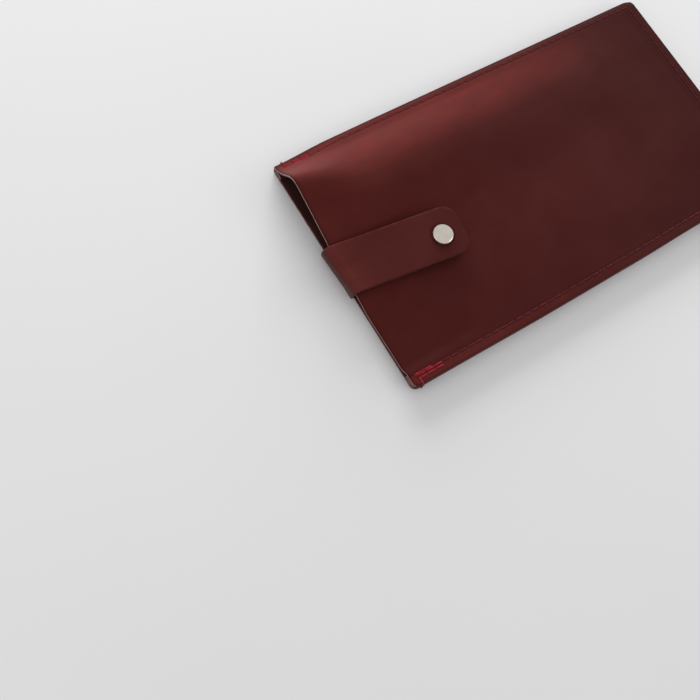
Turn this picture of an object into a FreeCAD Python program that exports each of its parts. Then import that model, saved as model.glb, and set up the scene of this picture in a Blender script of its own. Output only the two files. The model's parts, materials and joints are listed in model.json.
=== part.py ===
"""Leather blade guard for a broad kitchen knife, with a wrap-over strap and a snap button.

Millimetres.  +X runs from the mouth to the toe, +Y towards the spine side, +Z up.
The origin is the centre of the back panel's outer face, on which the guard rests.
"""
import FreeCAD, Part
import math
import os

V = FreeCAD.Vector

# ---- overall size -----------------------------------------------------------
LENGTH = 194.0            # mouth to toe
WIDTH = 108.0             # cutting-edge side to spine side
CORNER_R = 4.0            # rounded toe corners
MOUTH_CORNER_R = 2.5      # the mouth's corner on the cutting-edge side
PANEL_T = 1.6             # leather of both panels and of the strap
WELT_T = 2.4              # leather strip between the panels
WELT_W = 6.5              # its width

# ---- bulge of the front panel -------------------------------------------------
BULGE_H = 10.3            # rise of the ridge over the flat seam margin, at the mouth
BULGE_FADE = 1.1          # how quickly the ridge sinks towards the toe, 1 is a straight line
BULGE_END = 26.0          # flat end of the panel beside the toe edge
SEAM_MARGIN = 4.4         # flat margin beside the spine edge
RIDGE_OUT = 12.5          # at the mouth, from the spine edge to the top of the steep flank
RIDGE_IN = 16.5           # at the mouth, from the spine edge to the start of the long slope
RIDGE_SPREAD = 12.0       # behind the mouth the ridge lies this much further in, and is round
SPREAD_RUN = 30.0         # length over which it gets there
STRAP_LIFT = 0.75         # the long slope passes this far under the strap's spine-side edge
POLE_STEP_X = 10.0        # spacing of the surface's control points
POLE_STEP_Y = 2.5

# ---- seam -----------------------------------------------------------------------
SEAM_INSET = 4.0          # stitch line in from the edge
STITCH_PITCH = 4.0
FIRST_STITCH = 3.0        # first hole in from the mouth
THREAD_D = 0.8
THREAD_CLEAR = 0.1        # thread to the wall of its hole
GROOVE_W = 1.2            # groove for the thread in both outer faces
FRONT_GROOVE = 0.55       # depth of the stitch groove in the front panel
BACK_GROOVE = 0.95        # deeper, so that the guard rests on leather and not on thread
TACK_STITCHES = 3         # stitches that are sewn twice at each mouth corner
TACK_OFFSET = 1.3         # the second thread lies this far outside the first
TACK_WRAP = 3.5           # where it wraps over the edge, from the mouth
WRAP_D = 0.7              # thread of the wrap, drawn tight

# ---- strap ----------------------------------------------------------------------
STRAP_W = 21.5
STRAP_REACH = 52.4        # from the mouth to the tip, along the strap
STRAP_TIP_R = 6.0
STRAP_SLANT = 7.2         # degrees towards the cutting-edge side
STRAP_Y = -0.05           # centre line where the upper run crosses the mouth
FOLD_OUT = 3.1            # outermost face of the fold, beyond the mouth
FOLD_R = 2.3              # outer radius of the fold's two corners
KNUCKLE_CLEAR = 0.2       # between the parts of the strap that turn on each other
SLANT_RISE = math.tan(math.radians(STRAP_SLANT))

# ---- snap button ----------------------------------------------------------------
SNAP_FROM_TIP = 9.6
SNAP_OFF_CENTRE = 1.0     # from the strap's centre line, towards the cutting-edge side
CAP_D = 8.7
CAP_FACE_D = 7.3
CAP_H = 1.5
CAP_RIM = 0.7             # straight part of the rim, under the bevel
SHANK_D = 2.6             # hollow shank of the cap, through the strap
SHANK_CLEAR = 0.05
SHANK_BORE_D = 1.6
SOCKET_D = 8.0
SOCKET_H = 2.4
SOCKET_WEB = 0.5          # plate of the socket under the strap
SOCKET_CHAMFER = 0.5
SOCKET_BORE_D = 4.0
SPRING_WIRE = 0.45
SPRING_SEAT = 0.9         # height of the spring's wire over the socket's mouth
SPRING_CLEAR = 0.1
SPRING_GAP = 70.0         # degrees left open in the spring ring
STUD_FLANGE_D = 7.4
STUD_FLANGE_H = 0.8
STUD_NECK_D = 3.0
STUD_HEAD_D = 3.4
STUD_HEAD_H = 0.9
STUD_UNDERCUT = 0.2       # slope under the head, which holds the spring
STUD_LEAD_IN = 0.3        # slope on top of the head
STUD_H = 2.5
STUD_HEADROOM = 0.325     # over the closed stud, to the foot of the cap's shank
STUD_BORE_D = 2.1
POST_FLANGE_D = 7.0
POST_FLANGE_H = 0.5
POST_SHANK_D = 2.0
POST_BORE_D = 1.0
SNAP_SLACK = 0.25         # play between the closed socket and the stud's flange
SHANK_SPREAD = 0.125      # foot of the cap's shank, rolled over under the socket's plate
STUD_SEAT = 0.1           # the stud's flange is pressed this far into the panel
SEAT_CLEAR = 0.1          # round the flange in its seat

# ---- worked out -----------------------------------------------------------------
HALF_L = LENGTH / 2
HALF_W = WIDTH / 2
MOUTH_X = -HALF_L
WELT_Z = PANEL_T
FRONT_Z = PANEL_T + WELT_T                 # inner face of the front panel at the seams
STACK_Z = FRONT_Z + PANEL_T                # its outer face at the seams
STUD_Z = STACK_Z - STUD_SEAT
SOCKET_REST = STUD_FLANGE_H + SNAP_SLACK + SOCKET_H
SHANK_REST = STUD_H + STUD_HEADROOM + SHANK_SPREAD + SOCKET_WEB
STRAP_Z = STUD_Z + max(SOCKET_REST, SHANK_REST)            # underside of the upper strap
FOLD_X = MOUTH_X - (FOLD_OUT - FOLD_R)     # both fold axes stand in this plane
LOW_AXIS_Z = FOLD_R
HIGH_AXIS_Z = STRAP_Z + PANEL_T - FOLD_R
KNUCKLE_R = FOLD_R - PANEL_T / 2
SNAP_ALONG = STRAP_REACH - SNAP_FROM_TIP
SLANT_COS = math.cos(math.radians(STRAP_SLANT))
SLANT_SIN = math.sin(math.radians(STRAP_SLANT))
SNAP_X = MOUTH_X + SNAP_ALONG * SLANT_COS - SNAP_OFF_CENTRE * SLANT_SIN
SNAP_Y = STRAP_Y - SNAP_ALONG * SLANT_SIN - SNAP_OFF_CENTRE * SLANT_COS
STRAP_HALF_Y = STRAP_W / 2 / SLANT_COS
RIDGE_Y = HALF_W - RIDGE_IN                # where the long slope starts at the mouth
STRAP_EDGE_Y = STRAP_Y + STRAP_HALF_Y      # the strap's spine-side edge at the mouth
STRAP_EDGE_RISE = STRAP_Z - STACK_Z - STRAP_LIFT
SLOPE_FOOT_Y = RIDGE_Y - (RIDGE_Y - STRAP_EDGE_Y) * BULGE_H / (BULGE_H - STRAP_EDGE_RISE)
HOLE_D = THREAD_D + 2 * THREAD_CLEAR
SEAM_Y = HALF_W - SEAM_INSET
SEAM_TOE_X = HALF_L - SEAM_INSET
SEAM_START_X = MOUTH_X + FIRST_STITCH


# ---- small helpers --------------------------------------------------------------
def block(x0, x1, y0, y1, z0, z1):
    return Part.makeBox(x1 - x0, y1 - y0, z1 - z0, V(x0, y0, z0))


def rod(diameter, start, end):
    """Round bar between two points."""
    run = end - start
    return Part.makeCylinder(diameter / 2, run.Length, start, run)


def upright(diameter, x, y, z0, z1):
    return rod(diameter, V(x, y, z0), V(x, y, z1))


def turned(profile, x, y):
    """Solid of revolution about a vertical axis, from (radius, height) points."""
    points = [V(r, 0, z) for r, z in profile]
    face = Part.Face(Part.makePolygon(points + points[:1]))
    solid = face.revolve(V(0, 0, 0), V(0, 0, 1), 360)
    solid.translate(V(x, y, 0))
    return solid


def joined(shapes):
    return shapes[0].multiFuse(shapes[1:]).removeSplitter()


def plan(z0, z1):
    """The guard's outline: rounded at the toe, and at the mouth's corner on the cutting-edge side."""
    body = block(MOUTH_X, HALF_L, -HALF_W, HALF_W, z0, z1)
    for x, y, radius in ((HALF_L, HALF_W, CORNER_R), (HALF_L, -HALF_W, CORNER_R), (MOUTH_X, -HALF_W, MOUTH_CORNER_R)):
        corner = [e for e in body.Edges if all(abs(v.X - x) < 1e-6 and abs(v.Y - y) < 1e-6 for v in e.Vertexes)]
        body = body.makeFillet(radius, corner)
    return body


# ---- front panel ----------------------------------------------------------------
def share(value):
    """The value kept between 0 and 1."""
    return min(max(value, 0), 1)


def bulge(x, y):
    """Height of the front panel over its seam margin: a ridge near the spine that fades to the toe.

    The ridge is angular at the mouth.  It gets broader and round over the first part of its length.
    """
    ridge = BULGE_H * (1 - share((x - MOUTH_X) / (LENGTH - BULGE_END))) ** BULGE_FADE
    spread = share((x - MOUTH_X) / SPREAD_RUN)
    spread = spread ** 2 * (3 - 2 * spread)
    inward = RIDGE_SPREAD * spread
    flank = share((HALF_W - y - SEAM_MARGIN) / (RIDGE_OUT + inward - SEAM_MARGIN))
    slope = share((y - SLOPE_FOOT_Y) / (RIDGE_Y - inward - SLOPE_FOOT_Y))
    round_flank = math.sin(math.pi / 2 * flank)
    round_slope = (1 - math.cos(math.pi * slope)) / 2
    return ridge * min(flank + (round_flank - flank) * spread, slope + (round_slope - slope) * spread)


def bulge_normal(x, y, step=0.5):
    """Upward unit normal of the bulge."""
    along_x = (bulge(x + step, y) - bulge(x - step, y)) / (2 * step)
    along_y = (bulge(x, y + step) - bulge(x, y - step)) / (2 * step)
    return V(-along_x, -along_y, 1).normalize()


def even_knots(half_span, step, degree=3):
    """Knots with their multiplicities, and the places of the control points, over a span."""
    spans = math.ceil(2 * half_span / step)
    knots = [-half_span + 2 * half_span * i / spans for i in range(spans + 1)]
    mults = [degree + 1] + [1] * (spans - 1) + [degree + 1]
    full = [k for k, m in zip(knots, mults) for _ in range(m)]
    places = [sum(full[i + 1:i + 1 + degree]) / degree for i in range(len(full) - degree - 1)]
    return knots, mults, places


def bulge_face(depth):
    """Smooth face that lies depth below the front panel's outer face, wider than its outline."""
    knots_x, mults_x, places_x = even_knots(HALF_L + POLE_STEP_X, POLE_STEP_X)
    knots_y, mults_y, places_y = even_knots(HALF_W + 2 * POLE_STEP_Y, POLE_STEP_Y)
    poles = [[V(x, y, STACK_Z + bulge(x, y)) - bulge_normal(x, y) * depth for y in places_y]
             for x in places_x]
    surface = Part.BSplineSurface()
    surface.buildFromPolesMultsKnots(poles, mults_x, mults_y, knots_x, knots_y, False, False, 3, 3)
    return surface.toShape()


def front_panel():
    above = STACK_Z + BULGE_H + PANEL_T
    pieces, _ = plan(0, above).generalFuse([bulge_face(0), bulge_face(PANEL_T)])
    middle = sorted(pieces.Solids, key=lambda s: s.CenterOfMass.z)[1]
    post_hole = upright(POST_SHANK_D + 2 * SHANK_CLEAR, SNAP_X, SNAP_Y, 0, above)
    stud_seat = upright(STUD_FLANGE_D + 2 * SEAT_CLEAR, SNAP_X, SNAP_Y, STUD_Z, above)
    return sewn(middle).cut([post_hole, stud_seat]).Solids[0]


# ---- seam -----------------------------------------------------------------------
def run_places(start, end):
    """Evenly spaced stitch holes from start to end, as near to the pitch as they come."""
    stitches = max(1, round((end - start).Length / STITCH_PITCH))
    return [start + (end - start) * (i / stitches) for i in range(stitches + 1)]


SIDE_RUNS = {side: run_places(V(SEAM_START_X, sign * SEAM_Y, 0), V(SEAM_TOE_X, sign * SEAM_Y, 0))
             for side, sign in (("spine", 1), ("edge", -1))}
TOE_RUN = run_places(V(SEAM_TOE_X, -SEAM_Y, 0), V(SEAM_TOE_X, SEAM_Y, 0))
SIDE_SIGN = {"spine": 1, "edge": -1}
FRONT_THREAD_Z = STACK_Z - FRONT_GROOVE + THREAD_D / 2 + THREAD_CLEAR / 2
BACK_THREAD_Z = BACK_GROOVE - THREAD_D / 2 - THREAD_CLEAR / 2


def groove(start, end, z0, z1):
    """Straight groove along X or Y, closed half its width past both ends."""
    reach = V(GROOVE_W / 2, GROOVE_W / 2, 0)
    low = V(min(start.x, end.x), min(start.y, end.y), 0) - reach
    high = V(max(start.x, end.x), max(start.y, end.y), 0) + reach
    return block(low.x, high.x, low.y, high.y, z0, z1)


def seam_grooves():
    """Grooves for the thread on both outer faces of the stack."""
    grooves = []
    for z0, z1 in ((STACK_Z - FRONT_GROOVE, STACK_Z + BULGE_H), (-1, BACK_GROOVE)):
        for run in [*SIDE_RUNS.values(), TOE_RUN]:
            grooves.append(groove(run[0], run[-1], z0, z1))
        for side, sign in SIDE_SIGN.items():
            grooves += tack_grooves(side, sign, z0, z1)
    return grooves


def stitch_hole(x, y):
    """Cutter for one hole.  Its start line is turned off the lines of the grooves, for a clean cut."""
    hole = upright(HOLE_D, x, y, -1, STACK_Z + BULGE_H)
    hole.rotate(V(x, y, 0), V(0, 0, 1), 45)
    return hole


def seam_holes():
    """Stitch holes through the whole stack."""
    places = {(round(p.x, 6), round(p.y, 6)) for run in [*SIDE_RUNS.values(), TOE_RUN] for p in run}
    for side, sign in SIDE_SIGN.items():
        places |= {(p.x, p.y) for p in tack_ends(side, sign)}
    return [stitch_hole(x, y) for x, y in sorted(places)]


def sewn(solid):
    """The solid with the seam cut out of it: the grooves one by one, and then the holes."""
    for tool in seam_grooves():
        solid = solid.cut(tool)
    return solid.cut(seam_holes()).Solids[0]


def thread(run, skip_ends=False):
    """One thread through a run of holes: a stitch in every gap on both faces, and a plug in every hole."""
    bars = []
    plugs = run[1:-1] if skip_ends else run
    for p in plugs:
        bars.append(upright(THREAD_D, p.x, p.y, BACK_THREAD_Z, FRONT_THREAD_Z))
        bars += [Part.makeSphere(THREAD_D / 2, V(p.x, p.y, z)) for z in (BACK_THREAD_Z, FRONT_THREAD_Z)]
    along = (run[-1] - run[0]).normalize()
    trim = along * (THREAD_D / 2 + THREAD_CLEAR if skip_ends else 0)
    for z in (BACK_THREAD_Z, FRONT_THREAD_Z):
        bars.append(rod(THREAD_D, run[0] + trim + V(0, 0, z), run[-1] - trim + V(0, 0, z)))
    return joined(bars)


def tack_ends(side, sign):
    """Where the second thread of a mouth tack passes through the stack."""
    run = SIDE_RUNS[side]
    offset = V(0, sign * TACK_OFFSET, 0)
    return [run[0] + offset, run[TACK_STITCHES] + offset]


def tack_grooves(side, sign, z0, z1):
    start, end = tack_ends(side, sign)
    wrap = V(MOUTH_X + TACK_WRAP, start.y, 0)
    outside = V(wrap.x, sign * (HALF_W + THREAD_D), 0)
    return [groove(start, end, z0, z1), groove(wrap, outside, z0, z1)]


def bar_tack(side, sign):
    """Doubled stitches at a mouth corner, with one turn of thread round the panels' edge."""
    start, end = tack_ends(side, sign)
    wrap_x = MOUTH_X + TACK_WRAP
    edge_y = sign * (HALF_W + WRAP_D / 2 + THREAD_CLEAR)
    levels = (BACK_THREAD_Z, FRONT_THREAD_Z)
    bars = [upright(THREAD_D, p.x, p.y, *levels) for p in (start, end)]
    bars.append(upright(WRAP_D, wrap_x, edge_y, *levels))
    for z in levels:
        bars.append(rod(THREAD_D, start + V(0, 0, z), end + V(0, 0, z)))
        bars.append(rod(WRAP_D, V(wrap_x, start.y, z), V(wrap_x, edge_y, z)))
        bars += [Part.makeSphere(THREAD_D / 2, V(p.x, p.y, z)) for p in (start, end)]
        bars.append(Part.makeSphere(WRAP_D / 2, V(wrap_x, edge_y, z)))
    return joined(bars)


# ---- flat leather ---------------------------------------------------------------
def welt(x0, x1, y0, y1):
    strip = block(x0, x1, y0, y1, WELT_Z, FRONT_Z)
    return sewn(strip.common(plan(WELT_Z, FRONT_Z)))


def side_welt(sign):
    """Welt along a long side, from the mouth to the toe."""
    inner, outer = sorted((sign * (HALF_W - WELT_W), sign * HALF_W))
    return welt(MOUTH_X, HALF_L, inner, outer)


def toe_welt():
    return welt(HALF_L - WELT_W, HALF_L, WELT_W - HALF_W, HALF_W - WELT_W)


def back_panel():
    """Back panel, with the root of the strap cut in one with it."""
    root = strap_plan(lower_run_y(FOLD_X - FOLD_R), lower_run_y(MOUTH_X + STRAP_W),
                      FOLD_X - FOLD_R, MOUTH_X + STRAP_W, 0, PANEL_T)
    straight = root.common(block(FOLD_X, MOUTH_X + STRAP_W, -HALF_W, HALF_W, 0, PANEL_T))
    nose = root.common(knuckle(KNUCKLE_R, LOW_AXIS_Z))
    return sewn(joined([plan(0, PANEL_T), straight, nose]))


# ---- strap ----------------------------------------------------------------------
def lower_run_y(x):
    """Centre line of the strap under the mouth: the slant goes on round the fold."""
    corners = math.pi * KNUCKLE_R
    wall = HIGH_AXIS_Z - LOW_AXIS_Z
    return STRAP_Y + SLANT_RISE * (corners + wall + 2 * (MOUTH_X - FOLD_X) + (x - MOUTH_X))


def strap_plan(y0, y1, x0, x1, z0, z1):
    """Slanting strip whose centre runs from (x0, y0) to (x1, y1), STRAP_W wide across its length."""
    half = STRAP_HALF_Y
    corners = [V(x0, y0 - half, z0), V(x1, y1 - half, z0), V(x1, y1 + half, z0), V(x0, y0 + half, z0)]
    return Part.Face(Part.makePolygon(corners + corners[:1])).extrude(V(0, 0, z1 - z0))


def knuckle(radius, axis_z):
    """Cylinder about one of the fold's two axes."""
    return rod(2 * radius, V(FOLD_X, -HALF_W, axis_z), V(FOLD_X, HALF_W, axis_z))


def strap_bend():
    """Upright wall of the fold, hollowed at both ends where it turns on its neighbours."""
    half = STRAP_HALF_Y
    top_y = STRAP_Y + SLANT_RISE * (MOUTH_X - FOLD_X + math.pi / 2 * KNUCKLE_R)
    foot_y = top_y + SLANT_RISE * (HIGH_AXIS_Z - LOW_AXIS_Z)
    outer = FOLD_X - FOLD_R
    corners = [V(outer, foot_y - half, LOW_AXIS_Z), V(outer, foot_y + half, LOW_AXIS_Z),
               V(outer, top_y + half, HIGH_AXIS_Z), V(outer, top_y - half, HIGH_AXIS_Z)]
    wall = Part.Face(Part.makePolygon(corners + corners[:1])).extrude(V(PANEL_T, 0, 0))
    hollows = [knuckle(KNUCKLE_R + KNUCKLE_CLEAR, z) for z in (LOW_AXIS_Z, HIGH_AXIS_Z)]
    return wall.cut(hollows).Solids[0]


def strap_tongue():
    """Upper run of the strap, from the fold to its rounded tip, with the hole for the cap's shank."""
    start = -2 * FOLD_R
    strip = Part.makeBox(STRAP_REACH - start, STRAP_W, PANEL_T, V(start, -STRAP_W / 2, 0))
    tip_corners = [e for e in strip.Edges
                   if all(abs(v.X - STRAP_REACH) < 1e-6 for v in e.Vertexes)
                   and abs(e.Vertexes[0].Y - e.Vertexes[-1].Y) < 1e-6]
    strip = strip.makeFillet(STRAP_TIP_R, tip_corners)
    strip.rotate(V(0, 0, 0), V(0, 0, 1), -STRAP_SLANT)
    strip.translate(V(MOUTH_X, STRAP_Y, STRAP_Z))
    straight = strip.common(block(FOLD_X, HALF_L, -HALF_W, HALF_W, STRAP_Z, STRAP_Z + PANEL_T))
    nose = strip.common(knuckle(KNUCKLE_R, HIGH_AXIS_Z))
    shank_hole = upright(SHANK_D + 2 * SHANK_CLEAR, SNAP_X, SNAP_Y, 0, 2 * STRAP_Z)
    return joined([straight, nose]).cut(shank_hole).Solids[0]


# ---- snap button ----------------------------------------------------------------
def snap_cap():
    """Flat-topped cap with a bevelled rim, and its hollow shank down through the strap."""
    seat = STRAP_Z + PANEL_T
    foot = STRAP_Z - SOCKET_WEB - SHANK_SPREAD
    outline = [(SHANK_BORE_D / 2, foot), (SHANK_D / 2, foot), (SHANK_D / 2, seat), (CAP_D / 2, seat),
               (CAP_D / 2, seat + CAP_RIM), (CAP_FACE_D / 2, seat + CAP_H), (0, seat + CAP_H),
               (0, seat), (SHANK_BORE_D / 2, seat)]
    return turned(outline, SNAP_X, SNAP_Y)


def snap_socket():
    """Socket under the strap: a bore for the stud, with a groove for the spring."""
    low = STRAP_Z - SOCKET_H
    web = STRAP_Z - SOCKET_WEB
    hole = SHANK_D / 2 + SHANK_CLEAR
    bore = SOCKET_BORE_D / 2
    groove_r = bore + SPRING_WIRE + SPRING_CLEAR
    groove_z = low + SPRING_SEAT
    half = SPRING_WIRE / 2 + SPRING_CLEAR
    outline = [(bore, low), (SOCKET_D / 2 - SOCKET_CHAMFER, low), (SOCKET_D / 2, low + SOCKET_CHAMFER),
               (SOCKET_D / 2, STRAP_Z), (hole, STRAP_Z), (hole, web), (bore, web), (bore, groove_z + half),
               (groove_r, groove_z + half), (groove_r, groove_z - half), (bore, groove_z - half)]
    return turned(outline, SNAP_X, SNAP_Y)


def snap_spring():
    """Open wire ring that grips the stud."""
    wire_z = STRAP_Z - SOCKET_H + SPRING_SEAT
    radius = SOCKET_BORE_D / 2 + SPRING_WIRE / 2
    section = Part.Face(Part.Wire(Part.makeCircle(SPRING_WIRE / 2, V(radius, 0, 0), V(0, 1, 0))))
    ring = section.revolve(V(0, 0, 0), V(0, 0, 1), 360 - SPRING_GAP)
    ring.translate(V(SNAP_X, SNAP_Y, wire_z))
    return ring


def snap_stud():
    """Stud on the front panel, with a wider head that the spring grips."""
    top = STUD_Z + STUD_H
    neck_top = top - STUD_HEAD_H
    bore = STUD_BORE_D / 2
    outline = [(bore, STUD_Z), (STUD_FLANGE_D / 2, STUD_Z), (STUD_FLANGE_D / 2, STUD_Z + STUD_FLANGE_H / 2),
               (STUD_NECK_D / 2, STUD_Z + STUD_FLANGE_H), (STUD_NECK_D / 2, neck_top),
               (STUD_HEAD_D / 2, neck_top + STUD_UNDERCUT), (STUD_HEAD_D / 2, top - STUD_LEAD_IN),
               (STUD_NECK_D / 2, top), (bore, top)]
    return turned(outline, SNAP_X, SNAP_Y)


def snap_post():
    """Post inside the pocket: its flange holds the panel, its shank the stud."""
    top = STUD_Z + STUD_H - STUD_HEAD_H / 2
    low = FRONT_Z - POST_FLANGE_H
    bore = POST_BORE_D / 2
    outline = [(bore, low), (POST_FLANGE_D / 2, low), (POST_FLANGE_D / 2, FRONT_Z),
               (POST_SHANK_D / 2, FRONT_Z), (POST_SHANK_D / 2, top), (bore, top)]
    return turned(outline, SNAP_X, SNAP_Y)


NODES = {
    "back_panel": (back_panel,),
    "front_panel": (front_panel,),
    "spine_welt": (side_welt, 1),
    "edge_welt": (side_welt, -1),
    "toe_welt": (toe_welt,),
    "spine_seam_thread": (thread, SIDE_RUNS["spine"]),
    "edge_seam_thread": (thread, SIDE_RUNS["edge"]),
    "toe_seam_thread": (thread, TOE_RUN, True),
    "spine_bar_tack": (bar_tack, "spine", 1),
    "edge_bar_tack": (bar_tack, "edge", -1),
    "strap_bend": (strap_bend,),
    "strap_tongue": (strap_tongue,),
    "snap_cap": (snap_cap,),
    "snap_socket": (snap_socket,),
    "snap_spring": (snap_spring,),
    "snap_stud": (snap_stud,),
    "snap_post": (snap_post,),
}

os.makedirs("parts", exist_ok=True)
for node, (make, *words) in NODES.items():
    shape = make(*words)
    box = shape.BoundBox
    print(f"{node}: {len(shape.Solids)} solid, {shape.Volume:.1f} mm3, valid {shape.isValid()}, "
          f"x {box.XMin:.2f}..{box.XMax:.2f}, y {box.YMin:.2f}..{box.YMax:.2f}, "
          f"z {box.ZMin:.2f}..{box.ZMax:.2f}")
    shape.exportStep(f"parts/{node}.step")
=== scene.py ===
"""Knife blade guard: a flat leather sheath with a wrap-over strap and a snap button.

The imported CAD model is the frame.  Lengths in the functions are millimetres, and points
are written to the meshes in metres.  +X runs from the mouth to the toe, +Y towards the
spine side, +Z up out of the front panel.
"""
import bpy
import json
import math
import numpy as np
from mathutils import Euler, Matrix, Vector, noise


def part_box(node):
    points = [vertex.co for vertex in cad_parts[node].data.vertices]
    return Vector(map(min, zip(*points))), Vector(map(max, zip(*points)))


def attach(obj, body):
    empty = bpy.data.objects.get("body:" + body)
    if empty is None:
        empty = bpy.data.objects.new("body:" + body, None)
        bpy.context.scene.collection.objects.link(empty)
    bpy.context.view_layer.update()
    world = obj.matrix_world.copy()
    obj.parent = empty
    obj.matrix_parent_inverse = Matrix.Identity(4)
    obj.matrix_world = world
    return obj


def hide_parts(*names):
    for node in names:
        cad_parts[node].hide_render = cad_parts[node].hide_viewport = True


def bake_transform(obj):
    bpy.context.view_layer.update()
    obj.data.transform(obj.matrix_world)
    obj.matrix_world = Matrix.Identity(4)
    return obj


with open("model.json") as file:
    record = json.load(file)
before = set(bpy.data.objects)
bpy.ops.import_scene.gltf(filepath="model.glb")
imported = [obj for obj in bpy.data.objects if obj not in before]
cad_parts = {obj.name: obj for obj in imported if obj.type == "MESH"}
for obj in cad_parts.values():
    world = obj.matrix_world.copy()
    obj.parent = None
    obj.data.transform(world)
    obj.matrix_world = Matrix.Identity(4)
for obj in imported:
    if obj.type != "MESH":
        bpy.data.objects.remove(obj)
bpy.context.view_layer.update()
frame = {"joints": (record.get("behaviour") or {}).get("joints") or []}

MM = 0.001


def millimetres(node):
    """Lowest and highest corner of a CAD node."""
    low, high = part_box(node)
    return low / MM, high / MM


def share(value):
    """The value, held between 0 and 1."""
    return min(max(value, 0), 1)


def eased(value):
    """From 0 to 1, with a soft start and end."""
    part = share(value)
    return part ** 2 * (3 - 2 * part)


def ramp(value, start, run):
    """0 up to the start and 1 from a run past it, softly in between."""
    return eased((value - start) / run)


def bell(distance, width):
    return math.exp(-(distance / width) ** 2)


def fading(distance, run):
    return math.exp(-distance / run)


def waviness(x, y, wave_x, wave_y, layer):
    """Smooth noise between -1 and 1, in waves of about these lengths."""
    return noise.noise(Vector((x / wave_x, y / wave_y, layer)))


# ---- sizes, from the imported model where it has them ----
panel_low, panel_high = millimetres("front_panel")
welt_low, welt_high = millimetres("spine_welt")
cap_low, cap_high = millimetres("snap_cap")
HINGE = {joint["name"]: Vector(joint["pos_m"]) / MM for joint in frame["joints"]}

MOUTH_X, TOE_X = panel_low.x, panel_high.x
HALF_W = panel_high.y
LENGTH = TOE_X - MOUTH_X
PANEL_T = welt_low.z                    # leather of the panels and the strap
FRONT_Z = welt_high.z                   # inner face of the front panel at the seams
STACK_Z = FRONT_Z + PANEL_T
STRAP_Z = millimetres("strap_tongue")[0].z
FOLD_X = HINGE["fold_open"].x
LOW_AXIS_Z = HINGE["fold_open"].z
HIGH_AXIS_Z = HINGE["strap_lift"].z
KNUCKLE_R = LOW_AXIS_Z - PANEL_T / 2    # from a fold axis to the middle of the leather
SNAP_X = (cap_low.x + cap_high.x) / 2
SNAP_Y = (cap_low.y + cap_high.y) / 2

CORNER_R = 4.0                          # toe corners
MOUTH_CORNER_R = 2.5                    # mouth's corner on the cutting-edge side
WELT_W = 6.5
EDGE_R = 0.4                            # rounding of the burnished edges

BULGE_H = 10.3                          # ridge over the seam margin, at the mouth
BULGE_FADE = 1.1                        # power of its fall towards the toe
BULGE_END = 26.0                        # flat length before the toe
SEAM_MARGIN = 4.4
RIDGE_OUT = 12.5                        # from the spine edge to the top of the flank
RIDGE_IN = 16.5                         # from the spine edge to the start of the long slope
RIDGE_SPREAD = 12.0                     # behind the mouth the ridge lies this much further in
SPREAD_RUN = 30.0
SLOPE_FOOT_Y = 1.76                     # foot of the long slope
SMOOTH_X = 9.727                        # spacing of the CAD surface's control points
SMOOTH_Y = 2.458

SEAM_INSET = 4.0
SEAM_START_X = MOUTH_X + 3.0
SEAM_TOE_X = TOE_X - SEAM_INSET
SEAM_Y = HALF_W - SEAM_INSET
SIDE_STITCHES = 47
TOE_STITCHES = 25
SIDE_PITCH = (SEAM_TOE_X - SEAM_START_X) / SIDE_STITCHES
TOE_PITCH = 2 * SEAM_Y / TOE_STITCHES
THREAD_R = 0.4
FRONT_THREAD_Z = STACK_Z - 0.1          # middle of the thread on the front face
BACK_THREAD_Z = 0.5
TACK_STITCHES = 3
TACK_OFFSET = 1.3
TACK_WRAP_X = MOUTH_X + 3.5

STRAP_W = 21.5
STRAP_REACH = 52.4
STRAP_TIP_R = 6.0
STRAP_Y = -0.05                         # middle of the strap at the mouth
SLANT = math.radians(7.2)               # of the strap, towards the cutting-edge side


# ---- materials ----
def srgb(code):
    """Linear colour of an sRGB hex value."""
    parts = [int(code[i:i + 2], 16) / 255 for i in (0, 2, 4)]
    return (*(p / 12.92 if p <= 0.04045 else ((p + 0.055) / 1.055) ** 2.4 for p in parts), 1)


def add(tree, kind, inputs, output=0, **settings):
    """Adds a node with its settings, values and links, and gives its output."""
    made = tree.nodes.new("ShaderNode" + kind)
    for key, value in settings.items():
        setattr(made, key, value)
    for key, value in inputs.items():
        if isinstance(value, bpy.types.NodeSocket):
            tree.links.new(value, made.inputs[key])
        else:
            made.inputs[key].default_value = value
    return made.outputs[output]


def material(name, **constants):
    """A new material: its tree and its shader, with the shader's constant sockets set."""
    made = bpy.data.materials.new(name)
    made.use_nodes = True
    shader = made.node_tree.nodes["Principled BSDF"]
    for key, value in constants.items():
        shader.inputs[key.replace("_", " ")].default_value = value
    return made, made.node_tree, shader


def surface_place(tree):
    """Place on the unrolled leather, in metres."""
    return add(tree, "TexCoord", {}, "UV")


def object_place(tree):
    return add(tree, "TexCoord", {}, "Object")


def drawn_out(tree, place, squeeze):
    """The place, squeezed along x, so that a pattern on it is drawn out along x."""
    return add(tree, "Mapping", {"Vector": place, "Scale": (squeeze, 1, 1)})


def cloud_of(tree, place, size, detail):
    """Soft noise with lumps of about this size in millimetres."""
    return add(tree, "TexNoise", {"Vector": place, "Scale": 1 / (size * MM), "Detail": detail})


def ranged(tree, value, given=(0, 1), wanted=(0, 1)):
    """Maps the given range of the value onto the wanted range."""
    return add(tree, "MapRange", {"Value": value, "From Min": given[0], "From Max": given[1],
                                  "To Min": wanted[0], "To Max": wanted[1]})


def mixed(tree, factor, first, second, blend_type="MIX"):
    return add(tree, "MixRGB", {"Fac": factor, "Color1": first, "Color2": second},
               blend_type=blend_type)


def product(tree, first, second):
    """Product of two values, held between 0 and 1."""
    return add(tree, "Math", {0: first, 1: second}, operation="MULTIPLY", use_clamp=True)


def total(tree, first, second):
    return add(tree, "Math", {0: first, 1: second}, operation="ADD")


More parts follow.
